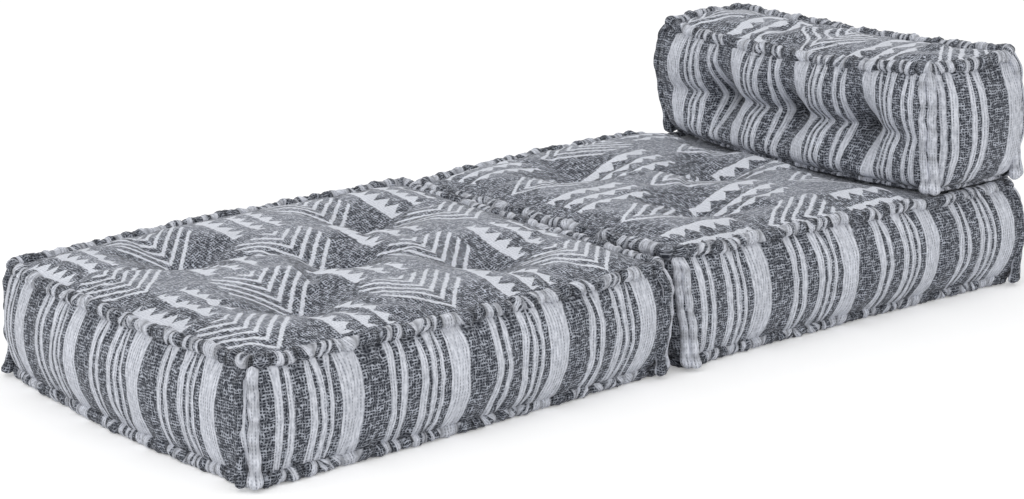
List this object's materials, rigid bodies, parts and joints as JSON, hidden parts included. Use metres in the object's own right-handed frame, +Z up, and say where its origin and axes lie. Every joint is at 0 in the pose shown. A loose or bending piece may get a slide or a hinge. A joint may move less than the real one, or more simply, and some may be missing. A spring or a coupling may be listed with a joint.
{
  "type": "modular floor sofa",
  "caption": "Low modular floor sofa: square tufted seat cushions in a row with a tufted backrest cushion across one end, all with rolled stitched edges.",
  "frame": {"origin": "middle of the whole footprint, on the floor", "axes": "+X along the length from the foot seat to the backrest, +Y from the front to the rear, +Z up"},
  "size_m": [2.118, 0.926, 0.5295],
  "materials": {
    "patterned_cover": "matte",
    "striped_cover": "matte",
    "underside_cover": "matte",
    "rolled_edge": "matte",
    "filling": "matte",
    "twine": "matte"
  },
  "bodies": {
    "foot_seat": {"foot_seat_core": "filling", "foot_seat_cover_top": "patterned_cover", "foot_seat_cover_bottom": "underside_cover", "foot_seat_border_front": "striped_cover", "foot_seat_border_inner": "striped_cover", "foot_seat_border_rear": "striped_cover", "foot_seat_border_end": "striped_cover", "foot_seat_top_roll": "rolled_edge", "foot_seat_bottom_roll": "rolled_edge", "foot_seat_corner_rolls": "rolled_edge", "foot_seat_ties": "twine"},
    "head_seat": {"head_seat_core": "filling", "head_seat_cover_top": "patterned_cover", "head_seat_cover_bottom": "underside_cover", "head_seat_border_front": "striped_cover", "head_seat_border_end": "striped_cover", "head_seat_border_rear": "striped_cover", "head_seat_border_inner": "striped_cover", "head_seat_top_roll": "rolled_edge", "head_seat_bottom_roll": "rolled_edge", "head_seat_corner_rolls": "rolled_edge", "head_seat_ties": "twine"},
    "backrest": {"backrest_core": "filling", "backrest_cover_top": "patterned_cover", "backrest_cover_bottom": "underside_cover", "backrest_border_front": "striped_cover", "backrest_reverse": "striped_cover", "backrest_border_rear": "striped_cover", "backrest_face": "striped_cover", "backrest_top_roll": "rolled_edge", "backrest_bottom_roll": "rolled_edge", "backrest_corner_rolls": "rolled_edge", "backrest_ties": "twine"}
  },
  "joints": [
    {"name": "foot_seat_slide", "type": "slide", "parent": "head_seat", "child": "foot_seat", "axis": [-1, 0, 0], "range_m": [0, 0.5]},
    {"name": "backrest_lift", "type": "slide", "parent": "head_seat", "child": "backrest", "axis": [0, 0, 1], "range_m": [0, 0.4]}
  ]
}
